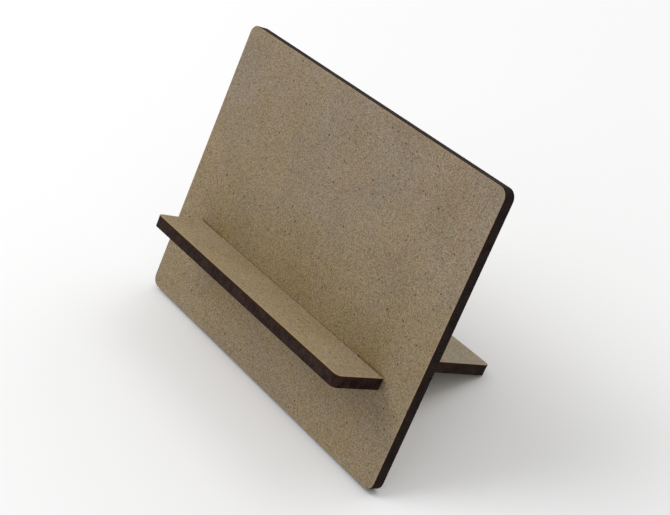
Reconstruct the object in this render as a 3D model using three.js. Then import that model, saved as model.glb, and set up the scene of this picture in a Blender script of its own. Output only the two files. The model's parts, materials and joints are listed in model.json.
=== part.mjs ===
// A tilted display stand made of two flat fibreboard boards that slot together.
// The back panel leans backwards. The T-shaped ledge board passes through a slot in it:
// its wide front end is the ledge, and its narrower tongue is the rear leg.
// The stand rests on the panel's bottom rear edge and on the tongue's lower rear edge.
//
// Units are millimetres, +Z is up, and the display face looks towards -Y.
// The origin is the bottom centre of the whole object's bounding box.

import * as THREE from 'three';

// Driving dimensions
const SHEET = 3;             // thickness of both boards
const PANEL_WIDTH = 100;
const PANEL_HEIGHT = 75.3;   // measured along the leaning panel
const PANEL_CORNER = 2.5;    // radius of the panel's four corners
const LEDGE_WIDTH = 80;
const LEDGE_REACH = 14.4;    // from the panel's front face to the ledge's front edge
const LEDGE_TOP = 23.7;      // from the panel's bottom edge up to the ledge's top face
const LEDGE_CORNER = 1.6;    // radius of the ledge's two front corners
const TONGUE_WIDTH = 60;
const TONGUE_REACH = 45.6;   // from the panel's front face to the tongue's rear edge
const TONGUE_CORNER = 1.5;   // radius of the tongue's two rear corners
const FIT_GAP = 0.3;         // clearance all round the tongue and behind the ledge's shoulders
const ARC_STEPS = 12;        // straight steps in each rounded corner, an even number

// Worked out from the dimensions above, in the panel's own frame:
// y runs through the panel from its front face to its back, z runs up the panel
const LEDGE_UNDERSIDE = LEDGE_TOP - SHEET;
const LEAN = Math.atan2(LEDGE_UNDERSIDE, TONGUE_REACH - SHEET);

// A closed outline of right-angled corners [x, y, radius], listed anticlockwise.
// A radius of 0 leaves the corner square.
function outline(corners) {
  const shape = new THREE.Shape();
  corners.forEach(([x, y, radius], index) => {
    if (radius > 0) {
      const corner = new THREE.Vector2(x, y);
      const [beforeX, beforeY] = corners.at(index - 1);
      const [afterX, afterY] = corners[(index + 1) % corners.length];
      const toBefore = new THREE.Vector2(beforeX, beforeY).sub(corner).setLength(radius);
      const toAfter = new THREE.Vector2(afterX, afterY).sub(corner).setLength(radius);
      const centre = corner.clone().add(toBefore).add(toAfter);
      const startAngle = toAfter.clone().negate().angle();
      const endAngle = toBefore.clone().negate().angle();
      shape.absarc(centre.x, centre.y, radius, startAngle, endAngle, false);
    } else if (index === 0) {
      shape.moveTo(x, y);
    } else {
      shape.lineTo(x, y);
    }
  });
  shape.closePath();
  return shape;
}

function rectangle(left, right, low, high, radius) {
  return outline([
    [left, low, radius],
    [right, low, radius],
    [right, high, radius],
    [left, high, radius],
  ]);
}

// One board of sheet material with the given outline, from z = 0 to z = SHEET
function board(name, shape, colour) {
  const geometry = new THREE.ExtrudeGeometry(shape, {
    depth: SHEET,
    bevelEnabled: false,
    curveSegments: ARC_STEPS / 2,  // an arc takes two steps for each of these
  });
  const material = new THREE.MeshStandardMaterial({ color: colour, roughness: 0.85, metalness: 0 });
  const mesh = new THREE.Mesh(geometry, material);
  mesh.name = name;
  return mesh;
}

// The leaning panel: a rounded rectangle with one slot across it for the tongue
function backPanel() {
  const shape = rectangle(-PANEL_WIDTH / 2, PANEL_WIDTH / 2, 0, PANEL_HEIGHT, PANEL_CORNER);
  const slotHalfWidth = TONGUE_WIDTH / 2 + FIT_GAP;
  const slotLow = LEDGE_UNDERSIDE - FIT_GAP;
  const slotHigh = LEDGE_TOP + FIT_GAP;
  shape.holes.push(rectangle(-slotHalfWidth, slotHalfWidth, slotLow, slotHigh, 0));

  const panel = board('back_panel', shape, 0x8c7d64);
  panel.rotation.x = Math.PI / 2;
  panel.position.y = SHEET;
  return panel;
}

// The T-shaped board: the ledge in front of the panel and the tongue through it
function ledgeBoard() {
  const ledgeHalf = LEDGE_WIDTH / 2;
  const tongueHalf = TONGUE_WIDTH / 2;
  const shape = outline([
    [-ledgeHalf, -LEDGE_REACH, LEDGE_CORNER],
    [ledgeHalf, -LEDGE_REACH, LEDGE_CORNER],
    [ledgeHalf, -FIT_GAP, 0],
    [tongueHalf, -FIT_GAP, 0],
    [tongueHalf, TONGUE_REACH, TONGUE_CORNER],
    [-tongueHalf, TONGUE_REACH, TONGUE_CORNER],
    [-tongueHalf, -FIT_GAP, 0],
    [-ledgeHalf, -FIT_GAP, 0],
  ]);

  const ledge = board('ledge_board', shape, 0x918464);
  ledge.position.z = LEDGE_UNDERSIDE;
  return ledge;
}

// Lean both boards back together, so that the panel's bottom rear edge and the tongue's
// lower rear edge lie on the ground, and centre the bounding box on the origin
const group = new THREE.Group();
group.add(backPanel(), ledgeBoard());
group.rotation.x = -LEAN;

const frontMost = LEDGE_UNDERSIDE * Math.sin(LEAN) - LEDGE_REACH * Math.cos(LEAN);
const rearMost = LEDGE_TOP * Math.sin(LEAN) + TONGUE_REACH * Math.cos(LEAN);
group.position.y = -(frontMost + rearMost) / 2;
group.position.z = SHEET * Math.sin(LEAN);

export default group;
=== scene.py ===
"""A tilted display stand: a leaning fibreboard panel and a T-shaped board slotted through it.

Both boards are cut from one sheet by a laser. Each is built as a flat sheet in its own frame,
with x and y in the sheet and z through it, and is then placed where the CAD board is.
The material is always on the left of an outline's direction of travel.
"""

import json
import math

import bmesh
import bpy
from mathutils import Matrix, Quaternion, Vector, noise
from mathutils.geometry import delaunay_2d_cdt


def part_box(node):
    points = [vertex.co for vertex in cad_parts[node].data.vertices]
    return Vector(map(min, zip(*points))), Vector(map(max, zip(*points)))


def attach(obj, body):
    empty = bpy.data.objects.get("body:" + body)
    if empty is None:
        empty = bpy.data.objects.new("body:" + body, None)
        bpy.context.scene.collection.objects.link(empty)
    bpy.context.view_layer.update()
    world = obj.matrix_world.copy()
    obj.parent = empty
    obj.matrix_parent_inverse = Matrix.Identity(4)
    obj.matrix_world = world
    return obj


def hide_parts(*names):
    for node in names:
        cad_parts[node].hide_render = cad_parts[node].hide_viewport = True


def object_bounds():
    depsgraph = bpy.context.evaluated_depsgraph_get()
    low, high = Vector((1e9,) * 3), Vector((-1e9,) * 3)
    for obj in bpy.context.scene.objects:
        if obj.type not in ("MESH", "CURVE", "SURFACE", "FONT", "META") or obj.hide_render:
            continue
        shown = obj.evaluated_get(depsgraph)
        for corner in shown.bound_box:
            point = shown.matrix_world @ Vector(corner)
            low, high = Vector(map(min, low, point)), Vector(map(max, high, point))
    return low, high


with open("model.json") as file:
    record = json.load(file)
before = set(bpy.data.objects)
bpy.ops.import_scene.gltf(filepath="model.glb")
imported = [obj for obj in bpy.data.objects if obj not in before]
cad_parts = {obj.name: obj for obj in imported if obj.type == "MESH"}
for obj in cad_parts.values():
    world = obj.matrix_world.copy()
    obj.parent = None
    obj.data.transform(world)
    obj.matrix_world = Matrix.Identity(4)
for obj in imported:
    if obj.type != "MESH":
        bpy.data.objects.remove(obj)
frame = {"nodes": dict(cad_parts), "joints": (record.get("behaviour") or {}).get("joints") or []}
cad_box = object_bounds()

MM = 0.001

# Corners, in metres
PANEL_CORNER = 2.5 * MM
LEDGE_CORNER = 1.6 * MM
TONGUE_CORNER = 1.5 * MM
CUT_CORNER = 0.2 * MM       # the small radius of the square cut corners

CAD_GAP = 0.3 * MM          # the CAD boards' clearance, all round the tongue
TOP_GAP = 0.07 * MM         # the modelled clearance over the tongue
SIDE_GAP = 0.06 * MM        # the modelled clearance under and beside the tongue
SHOULDER_GAP = 0.22 * MM    # the modelled gap between the panel and the ledge's shoulders

# Mesh detail, in metres
CUT_STEP = 0.2 * MM         # spacing of the points along a cut
CORNER_POINTS = 12          # points in each corner's arc
FACE_STEP = 1.5 * MM        # spacing of the points inside a face
RIM_RINGS = [1.8, 1.2, 0.8, 0.5, 0.3, 0.18]         # millimetres in from the cut, on the face
ARRIS = [(0.06, 0.0), (0.027, 0.012), (0.008, 0.035), (0.0, 0.08)]   # millimetres in and down
WALL_ROWS = 9               # rows through the thickness, between the two arrises

# The cut's shape, in metres
KERF_TAPER = 0.05 * MM      # the rear of the cut is this much further in than the front
CORE_HOLLOW = 0.025 * MM    # the soft core burns back this far
STRIPE_DEPTH = 0.022 * MM   # depth of the laser's stripes across the edge
STRIPE_PITCH = 0.55 * MM
STRIPE_SLANT = 0.25         # sideways drift of a stripe through the thickness

# The camera
VIEW_AZIMUTH = 54.54
VIEW_ELEVATION = 33.21
VIEW_ROLL = 1.415
VIEW_DISTANCE = 0.348
VIEW_LENS = 77.36
AIM_RIGHT, AIM_UP = 0.00052, -0.00528     # from the centre of the object's box, in metres

# Colours
WHITE = (1, 1, 1, 1)
PANEL_COLOUR = (0.2635, 0.207, 0.1345, 1)
# the same fibreboard as the panel, a little yellower, and painted about a third lighter: painted
# light on the ledge's upward face
LEDGE_TONE_AND_PAINTED_LIGHT = (0.352, 0.279, 0.171, 1)
PEACH = (0.42, 0.28, 0.165, 1)      # heated by the laser, beside the char
SCORCH = (0.035, 0.018, 0.010, 1)   # the burnt spots at the slot's ends
PIT = (0.02, 0.013, 0.007, 1)       # the darkest specks in the face
SMOKE = (1.0, 0.97, 0.70, 1)        # what the smoke's wide stain leaves of the colour under it
SOOT_AND_SHADE = (0.80, 0.74, 0.60, 1)        # what the darker stain beside the slot leaves, and the soot and painted shade where the ledge's shoulders meet the panel
SINGE = (0.84, 0.72, 0.52, 1)       # what the brown stain at each end of the slot leaves
PANEL_CHAR = (0.0180, 0.0112, 0.0102, 1)
LEDGE_CHAR = (0.0290, 0.0167, 0.0138, 1)
PANEL_TOAST = (0.026, 0.0154, 0.0078, 1)    # the char's brown line along the front face
LEDGE_TOAST = (0.0385, 0.0202, 0.0100, 1)
GRAIN_TINT = (0.89, 1.0, 1.2)       # how much of a lightening or darkening each channel takes
UPPER_PAINTED_COOL_LIGHT = (0.97, 1.0, 1.16, 1)   # painted cool light on the upper part of the panel
TONGUE_PAINTED_SKYLIGHT = (0.91, 0.965, 1.16, 1)        # painted cool skylight from behind the panel on the tongue, which makes it greyer than the ledge

# The fibreboard's texture, in metres
CLOUD_SIZE = 6 * MM
BLOTCH_SIZE = 1.6 * MM
GRAIN_SIZE = 0.42 * MM
GRAIN_DARK, GRAIN_LIGHT = 0.64, 1.36        # the grain's darkest and lightest, as factors
FINE_SPACING, FINE_RADIUS = 1.3 * MM, 0.20 * MM
BOLD_SPACING, BOLD_RADIUS = 8.0 * MM, 0.21 * MM

# The smoke's stains and the painted cool light, in metres above the slot's upper side
SMOKE_FULL, SMOKE_GONE = 4 * MM, 26 * MM
SOOT_FULL, SOOT_GONE = 3 * MM, 6 * MM
COOL_LIGHT_FROM, COOL_LIGHT_FULL = 14 * MM, 44 * MM

# The char's brown line, in metres below the front face
TOAST_FULL, TOAST_GONE = 0.35 * MM, 1.0 * MM

# Each board has its own place in the textures, and its own stripes
PANEL_SEED, PANEL_SHIFT = 11.0, (0, 0, 0)
LEDGE_SEED, LEDGE_SHIFT = 31.0, (0.4, 0.2, 0)


# --- The boards' frame, from the CAD model ---


def sheet_frame():
    """The frame that leans with the panel: x across, y through it from the front, z up it."""
    slide = Vector(frame["joints"][0]["axis"])
    lean = math.atan2(slide.z, -slide.y)
    low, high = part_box("back_panel")
    span = high - low
    sine, cosine = math.sin(lean), math.cos(lean)
    sheet = (span.y * cosine - span.z * sine) / (cosine**2 - sine**2)
    origin = Vector((0, low.y, sheet * sine))
    return Matrix.Translation(origin) @ Matrix.Rotation(-lean, 4, "X"), sheet


def local_points(node, place):
    """The CAD node's points in the frame whose matrix is place."""
    inverse = place.inverted()
    return [inverse @ vertex.co for vertex in frame["nodes"][node].data.vertices]


def extent(points, axis):
    """The lowest and highest of the points' values along the axis."""
    values = [point[axis] for point in points]
    return min(values), max(values)


# --- Outlines ---


def rectangle(x_low, x_high, y_low, y_high, radius):
    """A rectangle's corners (x, y, radius), anticlockwise."""
    return [
        (x_low, y_low, radius),
        (x_high, y_low, radius),
        (x_high, y_high, radius),
        (x_low, y_high, radius),
    ]


def steps(length):
    """How many steps a straight stretch of that length has, always at least one."""
    return max(1, round(length / CUT_STEP))


def sides(corners):
    """The direction of each side of the outline, and the direction into the material from it."""
    places = [Vector(corner[:2]) for corner in corners]
    headings = [(b - a).normalized() for a, b in zip(places, places[1:] + places[:1])]
    return headings, [Vector((-heading.y, heading.x)) for heading in headings]


def moved_corners(corners, inset):
    """The outline's square corners, moved inset into the material."""
    inwards = sides(corners)[1]
    return [
        Vector(corner[:2]) + inset * (inwards[i - 1] + inwards[i])
        for i, corner in enumerate(corners)
    ]


def offset_outline(corners, inset):
    """Points (position, inward normal) round right-angled corners (x, y, radius), moved inset into
    the material. Every inset of one outline gives the same number of points."""
    count = len(corners)
    places = [Vector(corner[:2]) for corner in corners]
    radii = [corner[2] for corner in corners]
    headings, inwards = sides(corners)
    arcs = []
    for i, corner in enumerate(moved_corners(corners, inset)):
        arriving, inward, onward = headings[i - 1], inwards[i - 1], inwards[i]
        turn = arriving.cross(headings[i])
        radius = max(radii[i] - turn * inset, 0)
        centre = corner - radius * arriving + turn * radius * inward
        arc = []
        for k in range(CORNER_POINTS + 1):
            angle = math.pi / 2 * k / CORNER_POINTS
            normal = math.cos(angle) * inward + math.sin(angle) * onward
            arc.append((centre - turn * radius * normal, normal))
        arcs.append(arc)
    points = []
    for i in range(count):
        points += arcs[i]
        following = arcs[(i + 1) % count]
        nominal = (places[(i + 1) % count] - places[i]).length
        parts = steps(nominal - radii[i] - radii[(i + 1) % count])
        start, normal = arcs[i][-1]
        end = following[0][0]
        for k in range(1, parts):
            points.append((start.lerp(end, k / parts), normal))
    return points


def distances_along(points):
    """The distance travelled along the closed outline at each of its points."""
    travelled = [0.0]
    for (before, _), (after, _) in zip(points, points[1:]):
        travelled.append(travelled[-1] + (after - before).length)
    return travelled


# --- A laser-cut board ---


def cut_profile(sheet):
    """Rings (inset, depth below the front face, is it burnt edge) from the front face round the
    cut to the rear face."""
    front = [(ring * MM, 0.0, False) for ring in RIM_RINGS]
    front += [(inset * MM, depth * MM, True) for inset, depth in ARRIS]
    rear = [(inset + KERF_TAPER, sheet - depth, edge) for inset, depth, edge in reversed(front)]
    start, end = front[-1][1], rear[0][1]
    wall = []
    for row in range(1, WALL_ROWS):
        share = row / WALL_ROWS
        hollow = CORE_HOLLOW * math.sin(math.pi * share)
        wall.append((KERF_TAPER * share + hollow, start + (end - start) * share, True))
    return front + wall + rear


def stripes(distance, depth, sheet, seed):
    """How far the laser's stripes cut into the edge, from 0 to STRIPE_DEPTH."""
    through = depth / sheet
    drifted = distance + STRIPE_SLANT * sheet * through**2
    coarse = noise.noise(Vector((drifted / STRIPE_PITCH, through * 0.7, seed)))
    fine = noise.noise(Vector((drifted / STRIPE_PITCH * 2.3, through * 2.0, seed + 7.0)))
    return STRIPE_DEPTH * min(max(0.5 + 0.6 * coarse + 0.3 * fine, 0), 1)


def skin_cut(bm, rim, corners, profile, sheet, seed):
    """Adds the rings of one cut, from the front face to the rear one. Returns the first and last."""
    travelled = distances_along(offset_outline(corners, 0))
    rings = []
    for inset, depth, edge in profile:
        ring = []
        for (place, normal), distance in zip(offset_outline(corners, inset), travelled):
            if edge and 0 < depth < sheet:
                place = place + normal * stripes(distance, depth, sheet, seed)
            vertex = bm.verts.new((place.x, place.y, sheet - depth))
            vertex[rim] = inset if not edge else 0.0
            ring.append(vertex)
        rings.append(ring)
    for k, (upper, lower) in enumerate(zip(rings, rings[1:])):
        burnt = profile[k][2] and profile[k + 1][2]
        for i in range(len(upper)):
            j = (i + 1) % len(upper)
            face = bm.faces.new((upper[i], lower[i], lower[j], upper[j]))
            face.smooth = True
            face.material_index = int(burnt)
    return rings[0], rings[-1]


def inside(point, loop):
    """Is the point inside the closed loop of points?"""
    found = False
    for a, b in zip(loop, loop[1:] + loop[:1]):
        if (a.y > point.y) != (b.y > point.y):
            crossing = a.x + (point.y - a.y) / (b.y - a.y) * (b.x - a.x)
            found ^= point.x < crossing
    return found


def grid_points(outlines):
    """Points in staggered rows over the material, clear of the innermost rings."""
    margin = RIM_RINGS[0] * MM + FACE_STEP / 2
    outer, *gaps = [moved_corners(corners, margin) for corners in outlines]
    x_low, x_high = extent(outer, 0)
    y_low, y_high = extent(outer, 1)
    points = []
    for row in range(int((y_high - y_low) / FACE_STEP) + 1):
        shift = 0.5 if row % 2 else 0.0
        for column in range(int((x_high - x_low) / FACE_STEP) + 1):
            point = Vector((x_low + (column + shift) * FACE_STEP, y_low + row * FACE_STEP))
            if inside(point, outer) and not any(inside(point, gap) for gap in gaps):
                points.append(point)
    return points


def fill_face(bm, rim, loops, outlines):
    """Fills the flat face between the innermost rings with even triangles."""
    height = loops[0][0].co.z
    inset = RIM_RINGS[0] * MM
    vertices, edges = [], []
    for loop in loops:
        first = len(vertices)
        vertices += loop
        edges += [(first + i, first + (i + 1) % len(loop)) for i in range(len(loop))]
    for point in grid_points(outlines):
        vertices.append(bm.verts.new((point.x, point.y, height)))
        vertices[-1][rim] = inset
    places = [vertex.co.xy for vertex in vertices]
    _, _, triangles, sources, _, _ = delaunay_2d_cdt(places, edges, [], 1, 1e-9)
    gaps = [[vertex.co.xy for vertex in loop] for loop in loops[1:]]
    for triangle in triangles:
        corners = [vertices[sources[i][0]] for i in triangle]
        middle = sum((corner.co.xy for corner in corners), Vector((0, 0))) / 3
        if not any(inside(middle, gap) for gap in gaps):
            bm.faces.new(corners).smooth = True


def cut_board(name, outlines, sheet, place, seed):
    """A board with laser-cut outlines: the outer one anticlockwise, then its holes clockwise."""
    bm = bmesh.new()
    rim = bm.verts.layers.float.new("rim")
    profile = cut_profile(sheet)
    fronts, rears = [], []
    for index, corners in enumerate(outlines):
        front, rear = skin_cut(bm, rim, corners, profile, sheet, seed + index)
        fronts.append(front)
        rears.append(rear)
    fill_face(bm, rim, fronts, outlines)
    fill_face(bm, rim, rears, outlines)
    bmesh.ops.remove_doubles(bm, verts=bm.verts, dist=1e-6)
    bmesh.ops.recalc_face_normals(bm, faces=bm.faces)
    mesh = bpy.data.meshes.new(name)
    bm.to_mesh(mesh)
    bm.free()
    board = bpy.data.objects.new(name, mesh)
    bpy.context.scene.collection.objects.link(board)
    board.matrix_world = place
    return board


# --- Materials ---


class Graph:
    """A material's node tree, with short calls that add nodes and link them."""

    def __init__(self, name):
        self.material = bpy.data.materials.new(name)
        self.material.use_nodes = True
        self.tree = self.material.node_tree
        self.shader = self.tree.nodes["Principled BSDF"]

    def add(self, kind, inputs=(), **settings):
        node = self.tree.nodes.new("ShaderNode" + kind)
        for key, value in settings.items():
            setattr(node, key, value)
        for key, value in dict(inputs).items():
            self.feed(node.inputs[key], value)
        return node

    def feed(self, socket, value):
        if isinstance(value, bpy.types.NodeSocket):
            self.tree.links.new(value, socket)
        else:
            socket.default_value = value

    def math(self, operation, first, second=0.0, clamp=False):
        inputs = {0: first, 1: second}
        return self.add("Math", inputs, operation=operation, use_clamp=clamp).outputs[0]

    def vector(self, operation, first, second):
        return self.add("VectorMath", {0: first, 1: second}, operation=operation).outputs[0]

    def span(self, value, low, high, to_low=0.0, to_high=1.0):
        """value from low to high becomes to_low to to_high, smoothly, and holds beyond them."""
        inputs = {0: value, 1: low, 2: high, 3: to_low, 4: to_high}
        return self.add("MapRange", inputs, interpolation_type="SMOOTHSTEP").outputs[0]

    def mix(self, share, first, second, blend="MIX"):
        node = self.add("Mix", data_type="RGBA", blend_type=blend)
        for index, value in ((0, share), (6, first), (7, second)):
            self.feed(node.inputs[index], value)
        return node.outputs[2]

    def noise(self, place, size, detail=2.0, roughness=0.5):
        inputs = {"Vector": place, "Scale": 1 / size, "Detail": detail, "Roughness": roughness}
        return self.add("TexNoise", inputs).outputs["Fac"]


def specks(graph, place, spacing, radius, share, fading):
    """Round specks, one in some of the cells: from 1 in the darkest ones to 0 outside them. The
    larger fading is, the more of them are faint."""
    inputs = {"Vector": place, "Scale": 1 / spacing}
    cells = graph.add("TexVoronoi", inputs, voronoi_dimensions="2D")
    pick = graph.add("SeparateColor", {0: cells.outputs["Color"]})
    size = graph.span(pick.outputs[1], 0.0, 1.0, 0.6, 1.3)
    reach = graph.math("DIVIDE", cells.outputs["Distance"], size)
    edge = radius / spacing
    dot = graph.span(reach, edge * 0.6, edge * 1.3, 1.0, 0.0)
    chosen = graph.math("LESS_THAN", pick.outputs[0], share)
    strength = graph.math("POWER", pick.outputs[2], fading)
    return graph.math("MULTIPLY", graph.math("MULTIPLY", dot, chosen), strength)


def fibres(graph, place, spacing, length, width, share, shift):
    """Short bent fibres, one in some of the cells, each at its own angle."""
    moved = graph.vector("ADD", place, shift)
    inputs = {"Vector": moved, "Scale": 1 / spacing}
    cells = graph.add("TexVoronoi", inputs, voronoi_dimensions="2D")
    pick = graph.add("SeparateColor", {0: cells.outputs["Color"]})
    away = graph.vector("SUBTRACT", moved, cells.outputs["Position"])
    angle = graph.math("MULTIPLY", pick.outputs[0], math.tau)
    turned = graph.add("VectorRotate", {"Vector": away, "Angle": angle}, rotation_type="Z_AXIS")
    parts = graph.add("SeparateXYZ", {0: turned.outputs[0]})
    along, across = parts.outputs[0], parts.outputs[1]
    bend = graph.math("MULTIPLY", graph.math("MULTIPLY", along, along), 0.35 / length)
    offset = graph.math("ABSOLUTE", graph.math("SUBTRACT", across, bend))
    body = graph.span(offset, width * 0.3, width * 0.75, 1.0, 0.0)
    reach = graph.math("ABSOLUTE", along)
    ends = graph.span(reach, length * 0.25, length * 0.5, 1.0, 0.0)
    chosen = graph.math("LESS_THAN", pick.outputs[1], share)
    return graph.math("MULTIPLY", graph.math("MULTIPLY", body, ends), chosen)


def fibreboard(name, base, shift, heated):
    """Raw fibreboard: mottled, with short light and dark fibres, grain, specks and a paler heated
    rim, of strength heated. Returns the graph and the colour, so that more can be laid over it."""
    graph = Graph(name)
    object_place = graph.add("TexCoord").outputs["Object"]
    place = graph.vector("ADD", object_place, shift)
    colour = graph.mix(graph.span(graph.noise(place, 22 * MM), 0.35, 0.65), base, warm(base))
    for size, first, second in (
        (4.5 * MM, (1.0, 1.0, 0.96, 1), (1.0, 1.0, 1.04, 1)),
        (3.5 * MM, (1.015, 0.995, 1.0, 1), (0.985, 1.005, 1.0, 1)),
        (12 * MM, (0.96, 0.96, 0.96, 1), (1.04, 1.04, 1.04, 1)),
    ):
        drift = graph.span(graph.noise(place, size), 0.35, 0.65)
        colour = graph.mix(1.0, colour, graph.mix(drift, first, second), "MULTIPLY")
    cloud = graph.noise(place, CLOUD_SIZE, 3.0)
    colour = graph.mix(1.0, colour, graph.span(cloud, 0.3, 0.7, 1.02, 0.94), "MULTIPLY")
    blotch = graph.noise(place, BLOTCH_SIZE, 2.0)
    colour = graph.mix(1.0, colour, graph.span(blotch, 0.3, 0.7, 0.94, 1.06), "MULTIPLY")
    height = graph.noise(place, GRAIN_SIZE, 3.0, 0.75)
    darkest, lightest = shaded(WHITE, GRAIN_DARK), shaded(WHITE, GRAIN_LIGHT)
    grain = graph.mix(graph.span(height, 0.3, 0.7), darkest, lightest)
    colour = graph.mix(1.0, colour, grain, "MULTIPLY")

    light = graph.math(
        "MAXIMUM",
        fibres(graph, place, 1.5 * MM, 1.9 * MM, 0.13 * MM, 0.7, (0.1, 0.3, 0)),
        fibres(graph, place, 0.8 * MM, 1.0 * MM, 0.10 * MM, 0.8, (0.7, 0.2, 0)),
    )
    dark = graph.math(
        "MAXIMUM",
        fibres(graph, place, 1.6 * MM, 1.8 * MM, 0.13 * MM, 0.6, (0.5, 0.9, 0)),
        fibres(graph, place, 0.7 * MM, 0.8 * MM, 0.11 * MM, 0.8, (0.2, 0.6, 0)),
    )
    colour = graph.mix(graph.math("MULTIPLY", light, 0.30), colour, shaded(base, 1.7))
    colour = graph.mix(graph.math("MULTIPLY", dark, 0.50), colour, shaded(base, 0.40))
    fine = specks(graph, place, FINE_SPACING, FINE_RADIUS, 0.6, 2.5)
    colour = graph.mix(graph.math("MULTIPLY", fine, 0.95), colour, shaded(base, 0.25))
    bold = specks(graph, place, BOLD_SPACING, BOLD_RADIUS, 0.35, 0.2)
    colour = graph.mix(bold, colour, PIT)

    rim = graph.add("Attribute", attribute_name="rim").outputs["Fac"]
    ragged = graph.math("MULTIPLY", graph.noise(place, 1.5 * MM), 0.25 * MM)
    rim = graph.math("SUBTRACT", rim, ragged)
    colour = graph.mix(graph.span(rim, 0.15 * MM, 0.7 * MM, heated, 0.0), colour, PEACH)
    graph.feed(graph.shader.inputs["Base Color"], colour)

    relief = graph.math("ADD", height, graph.math("MULTIPLY", light, 0.5))
    relief = graph.math("SUBTRACT", relief, graph.math("MULTIPLY", dark, 0.5))
    relief = graph.math("SUBTRACT", relief, graph.math("MULTIPLY", bold, 0.8))
    bump = graph.add("Bump", {"Strength": 0.35, "Distance": 0.04 * MM, "Height": relief})
    graph.feed(graph.shader.inputs["Normal"], bump.outputs[0])
    graph.feed(graph.shader.inputs["Roughness"], graph.span(cloud, 0.3, 0.7, 0.78, 0.9))
    graph.shader.inputs["Specular IOR Level"].default_value = 0.2
    return graph, colour


def smoke_and_painted_light(graph, colour, low, high, half_ledge, sheet):
    """Lays the laser's smoke over the front face along a slot: a wide warm stain above it, a
    narrow darker one beside it, and a burnt spot at each end. Beyond the ends, as far as
    half_ledge, is a dark line where the ledge's shoulders meet the panel: soot, and painted
    shade in the crevice between them. Higher up, painted cool light makes the panel cooler.
    The slot's lowest and highest corners are low and high."""
    place = graph.add("TexCoord").outputs["Object"]
    across, up, depth = graph.add("SeparateXYZ", {0: place}).outputs
    front = graph.math("GREATER_THAN", depth, sheet / 2)
    above = graph.math("SUBTRACT", up, high.y)
    wander = graph.math("MULTIPLY", graph.noise(place, 7 * MM, 3.0), 8 * MM)
    reach = graph.math("ADD", above, wander)
    below = graph.span(above, -4 * MM, -1 * MM)
    sideways = graph.math("ADD", graph.math("ABSOLUTE", across), wander)
    beside = graph.span(sideways, high.x + 4 * MM, high.x + 22 * MM, 1.0, 0.0)
    stained = graph.math("MULTIPLY", front, graph.math("MULTIPLY", below, beside))
    wide = graph.span(reach, SMOKE_FULL, SMOKE_GONE, 0.55, 0.0)
    colour = graph.mix(graph.math("MULTIPLY", wide, stained), colour, SMOKE, "MULTIPLY")
    narrow = graph.span(reach, SOOT_FULL, SOOT_GONE, 0.34, 0.0)
    colour = graph.mix(graph.math("MULTIPLY", narrow, stained), colour, SOOT_AND_SHADE, "MULTIPLY")
    # A dark line where the ledge's shoulders meet the panel: soot, and painted shade in the crevice
    # between them.
    apart = graph.math("ABSOLUTE", graph.math("ADD", above, 0.1 * MM))
    shoulder_soot_and_shade = graph.span(apart, 0.25 * MM, 0.8 * MM, 1.0, 0.0)
    width = graph.math("ABSOLUTE", across)
    shoulder_soot_and_shade = graph.math("MULTIPLY", shoulder_soot_and_shade, graph.span(width, high.x - MM, high.x + MM))
    shoulder_soot_and_shade = graph.math("MULTIPLY", shoulder_soot_and_shade, graph.math("LESS_THAN", width, half_ledge))
    shoulder_soot_and_shade = graph.math("MULTIPLY", shoulder_soot_and_shade, front)
    colour = graph.mix(shoulder_soot_and_shade, colour, SOOT_AND_SHADE, "MULTIPLY")
    # Painted cool light over the upper part of the panel.
    cool = graph.span(above, COOL_LIGHT_FROM, COOL_LIGHT_FULL, 0.0, 0.6)
    colour = graph.mix(cool, colour, UPPER_PAINTED_COOL_LIGHT, "MULTIPLY")
    # Each end's spot: its radius in millimetres, how burnt it is, and the stain round it.
    for end, size, burn, strength in ((low, 0.3, 0.5, 0.5), (high, 0.38, 0.95, 0.4)):
        away = graph.vector("SUBTRACT", place, (end.x, high.y, 0))
        flat = graph.vector("MULTIPLY", away, (1, 1, 0))
        distance = graph.add("VectorMath", {0: flat}, operation="LENGTH").outputs["Value"]
        spread = graph.math("ADD", distance, graph.math("MULTIPLY", wander, 0.5))
        tint = graph.math("MULTIPLY", graph.span(spread, 2 * MM, 11 * MM, strength, 0.0), front)
        colour = graph.mix(tint, colour, SINGE, "MULTIPLY")
        spot = graph.span(distance, size * 0.4 * MM, size * MM, burn, 0.0)
        colour = graph.mix(graph.math("MULTIPLY", spot, front), colour, SCORCH)
    graph.feed(graph.shader.inputs["Base Color"], colour)


def paint_skylight_on_tongue(graph, colour):
    """Paints cool skylight from behind the panel on the tongue: it turns greyer than the ledge, more
    so away from the panel.
    """
    place = graph.add("TexCoord").outputs["Object"]
    behind = graph.add("SeparateXYZ", {0: place}).outputs[1]
    share = graph.span(behind, 0.0, 24 * MM)
    colour = graph.mix(share, colour, TONGUE_PAINTED_SKYLIGHT, "MULTIPLY")
    graph.feed(graph.shader.inputs["Base Color"], colour)


def scaled(colour, factor):
    return (*(channel * factor for channel in colour[:3]), 1)


def shaded(colour, factor):
    """The colour lightened or darkened as the grain is: dark is browner and light is whiter."""
    shares = zip(colour[:3], GRAIN_TINT)
    return (*(channel * (1 + (factor - 1) * share) for channel, share in shares), 1)


def warm(colour):
    red, green, blue = colour[:3]
    return (red * 1.02, green * 0.985, blue * 0.9, 1)


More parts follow.
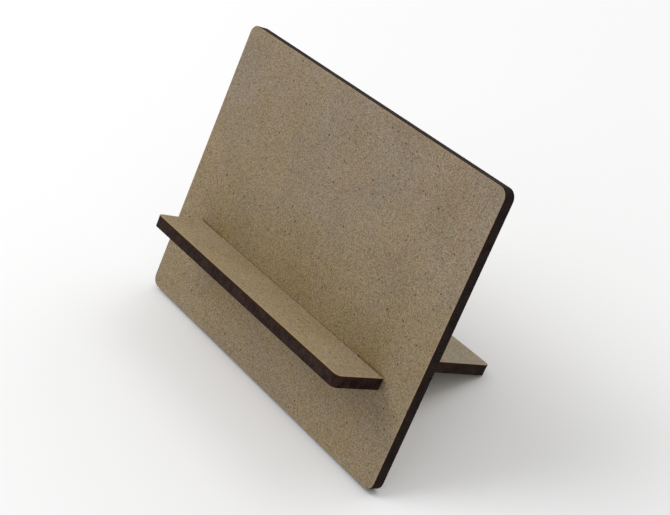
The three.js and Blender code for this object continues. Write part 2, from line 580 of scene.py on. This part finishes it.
def charred_edge(name, char, toast, shift, sheet, sooty=1.0):
    """The laser's burnt edge: near-black char, in patches, striped across the sheet, with a
    matt brown line along the front face. Further than sooty from the middle, matt soot covers it."""
    graph = Graph(name)
    object_place = graph.add("TexCoord").outputs["Object"]
    place = graph.vector("ADD", object_place, shift)
    patch = graph.noise(place, 3 * MM, 3.0)
    colour = graph.mix(graph.span(patch, 0.35, 0.65), scaled(char, 0.45), scaled(char, 1.15))
    squashed = graph.vector("MULTIPLY", place, (1, 1, 0.12))
    stripe = graph.noise(squashed, 0.45 * MM, 3.0, 0.6)
    colour = graph.mix(graph.span(stripe, 0.4, 0.7, 0.0, 0.6), colour, scaled(char, 1.5))
    grit = graph.noise(place, 0.25 * MM, 3.0, 0.7)
    colour = graph.mix(1.0, colour, graph.span(grit, 0.3, 0.7, 0.5, 1.5), "MULTIPLY")
    across, _, up = graph.add("SeparateXYZ", {0: object_place}).outputs
    depth = graph.math("SUBTRACT", sheet, up)
    depth = graph.math("ADD", depth, graph.math("MULTIPLY", patch, 0.5 * MM))
    toasted = graph.span(depth, TOAST_FULL, TOAST_GONE, 1.0, 0.0)
    colour = graph.mix(toasted, colour, toast)
    graph.feed(graph.shader.inputs["Base Color"], colour)
    relief = graph.math("ADD", graph.math("MULTIPLY", stripe, 1.5), grit)
    bump = graph.add("Bump", {"Strength": 0.4, "Distance": 0.03 * MM, "Height": relief})
    graph.feed(graph.shader.inputs["Normal"], bump.outputs[0])
    graph.feed(graph.shader.inputs["Roughness"], graph.span(patch, 0.3, 0.7, 0.6, 0.8))
    shine = graph.span(toasted, 0.0, 1.0, 0.05, 0.0)
    soot = graph.span(graph.math("ABSOLUTE", across), sooty - 0.3 * MM, sooty + 0.5 * MM, 1.0, 0.3)
    graph.feed(graph.shader.inputs["Specular IOR Level"], graph.math("MULTIPLY", shine, soot))
    return graph.material


# --- The two boards ---


def back_panel(place, sheet):
    """The leaning panel. Its own z runs out of its front face."""
    flat = place @ Matrix.Translation((0, sheet, 0)) @ Matrix.Rotation(math.pi / 2, 4, "X")
    points = local_points("back_panel", flat)
    x_low, x_high = extent(points, 0)
    y_low, y_high = extent(points, 1)
    outer = rectangle(x_low, x_high, y_low, y_high, PANEL_CORNER)
    margin = PANEL_CORNER * 2
    slot_points = [
        point
        for point in points
        if x_low + margin < point.x < x_high - margin and y_low + margin < point.y < y_high - margin
    ]
    closer = CAD_GAP - SIDE_GAP
    slot_x_low, slot_x_high = extent(slot_points, 0)
    slot_y_low, slot_y_high = extent(slot_points, 1)
    low = Vector((slot_x_low + closer, slot_y_low + closer))
    high = Vector((slot_x_high - closer, slot_y_high - CAD_GAP + TOP_GAP))
    slot = rectangle(low.x, high.x, low.y, high.y, CUT_CORNER)
    board = cut_board("panel_sheet", [outer, slot[::-1]], sheet, flat, PANEL_SEED)
    graph, colour = fibreboard("panel_face", PANEL_COLOUR, PANEL_SHIFT, heated=0.12)
    half_ledge = extent(local_points("ledge_board", flat), 0)[1]
    smoke_and_painted_light(graph, colour, low, high, half_ledge, sheet)
    board.data.materials.append(graph.material)
    edge = charred_edge("panel_edge", PANEL_CHAR, PANEL_TOAST, PANEL_SHIFT, sheet)
    board.data.materials.append(edge)
    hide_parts("back_panel")
    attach(board, "panel")


def ledge_board(place, sheet):
    """The T-shaped board: the ledge in front of the panel and the tongue behind it."""
    points = local_points("ledge_board", place)
    flat = place @ Matrix.Translation((0, 0, extent(points, 2)[0]))
    half_ledge = extent(points, 0)[1]
    front, rear = extent(points, 1)
    tongue = [point for point in points if point.y > sheet]
    half_tongue = extent(tongue, 0)[1]
    shoulder = -SHOULDER_GAP
    outer = [
        (-half_ledge, front, LEDGE_CORNER),
        (half_ledge, front, LEDGE_CORNER),
        (half_ledge, shoulder, CUT_CORNER),
        (half_tongue, shoulder, CUT_CORNER),
        (half_tongue, rear, TONGUE_CORNER),
        (-half_tongue, rear, TONGUE_CORNER),
        (-half_tongue, shoulder, CUT_CORNER),
        (-half_ledge, shoulder, CUT_CORNER),
    ]
    board = cut_board("ledge_sheet", [outer], sheet, flat, LEDGE_SEED)
    # The ledge's colour carries painted light on its upward face.
    graph, colour = fibreboard("ledge_face", LEDGE_TONE_AND_PAINTED_LIGHT, LEDGE_SHIFT, heated=0.5)
    # Painted cool skylight from behind the panel on the tongue.
    paint_skylight_on_tongue(graph, colour)
    board.data.materials.append(graph.material)
    sooty = half_ledge - LEDGE_CORNER
    edge = charred_edge("ledge_edge", LEDGE_CHAR, LEDGE_TOAST, LEDGE_SHIFT, sheet, sooty)
    board.data.materials.append(edge)
    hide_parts("ledge_board")
    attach(board, "board")


# --- The studio ---


def direction(azimuth, elevation):
    """The direction out from the object. The azimuth is from the front, and both are in degrees."""
    azimuth, elevation = math.radians(azimuth), math.radians(elevation)
    return Vector(
        (
            math.sin(azimuth) * math.cos(elevation),
            -math.cos(azimuth) * math.cos(elevation),
            math.sin(elevation),
        )
    )


def view_turn():
    """The camera's orientation, and the direction from the object to the camera."""
    back = direction(VIEW_AZIMUTH, VIEW_ELEVATION)
    level = (-back).to_track_quat("-Z", "Y")
    return level @ Quaternion((0, 0, 1), math.radians(VIEW_ROLL)), back


def make_camera():
    data = bpy.data.cameras.new("camera")
    data.lens = VIEW_LENS
    data.sensor_width = 36
    data.clip_start = 0.01
    camera = bpy.data.objects.new("camera", data)
    bpy.context.scene.collection.objects.link(camera)
    turn, back = view_turn()
    low, high = cad_box
    aim = (low + high) / 2 + turn @ Vector((AIM_RIGHT, AIM_UP, 0))
    camera.rotation_mode = "QUATERNION"
    camera.rotation_quaternion = turn
    camera.location = aim + back * VIEW_DISTANCE
    bpy.context.scene.camera = camera


def make_floor():
    bm = bmesh.new()
    bmesh.ops.create_circle(bm, cap_ends=True, segments=96, radius=6.0)
    mesh = bpy.data.meshes.new("floor")
    bm.to_mesh(mesh)
    bm.free()
    floor = bpy.data.objects.new("floor", mesh)
    bpy.context.scene.collection.objects.link(floor)
    graph = Graph("floor")
    place = graph.add("TexCoord").outputs["Object"]
    shade = graph.span(graph.noise(place, 0.5), 0.3, 0.7, 0.88, 0.9)
    graph.feed(graph.shader.inputs["Base Color"], shade)
    graph.shader.inputs["Roughness"].default_value = 0.9
    graph.shader.inputs["Specular IOR Level"].default_value = 0.1
    mesh.materials.append(graph.material)


def area_light(name, azimuth, elevation, distance, size, power):
    """A square light that points at the middle of the object."""
    way = direction(azimuth, elevation)
    data = bpy.data.lights.new(name, "AREA")
    data.size = size
    data.energy = power
    light = bpy.data.objects.new(name, data)
    bpy.context.scene.collection.objects.link(light)
    light.location = (cad_box[0] + cad_box[1]) / 2 + way * distance
    light.rotation_mode = "QUATERNION"
    light.rotation_quaternion = (-way).to_track_quat("-Z", "Y")


def make_light():
    world = bpy.data.worlds.new("world")
    world.use_nodes = True
    background = world.node_tree.nodes["Background"]
    background.inputs["Color"].default_value = (1.0, 1.0, 1.0, 1)
    background.inputs["Strength"].default_value = 0.6
    bpy.context.scene.world = world
    area_light("key", azimuth=-50, elevation=50, distance=0.9, size=0.6, power=4.0)
    area_light("rear", azimuth=180, elevation=50, distance=0.9, size=0.6, power=1.9)


sheet_place, sheet_thickness = sheet_frame()
back_panel(sheet_place, sheet_thickness)
ledge_board(sheet_place, sheet_thickness)
make_camera()
make_floor()
make_light()

scene = bpy.context.scene
scene.view_settings.view_transform = "Standard"
scene.cycles.use_denoising = True
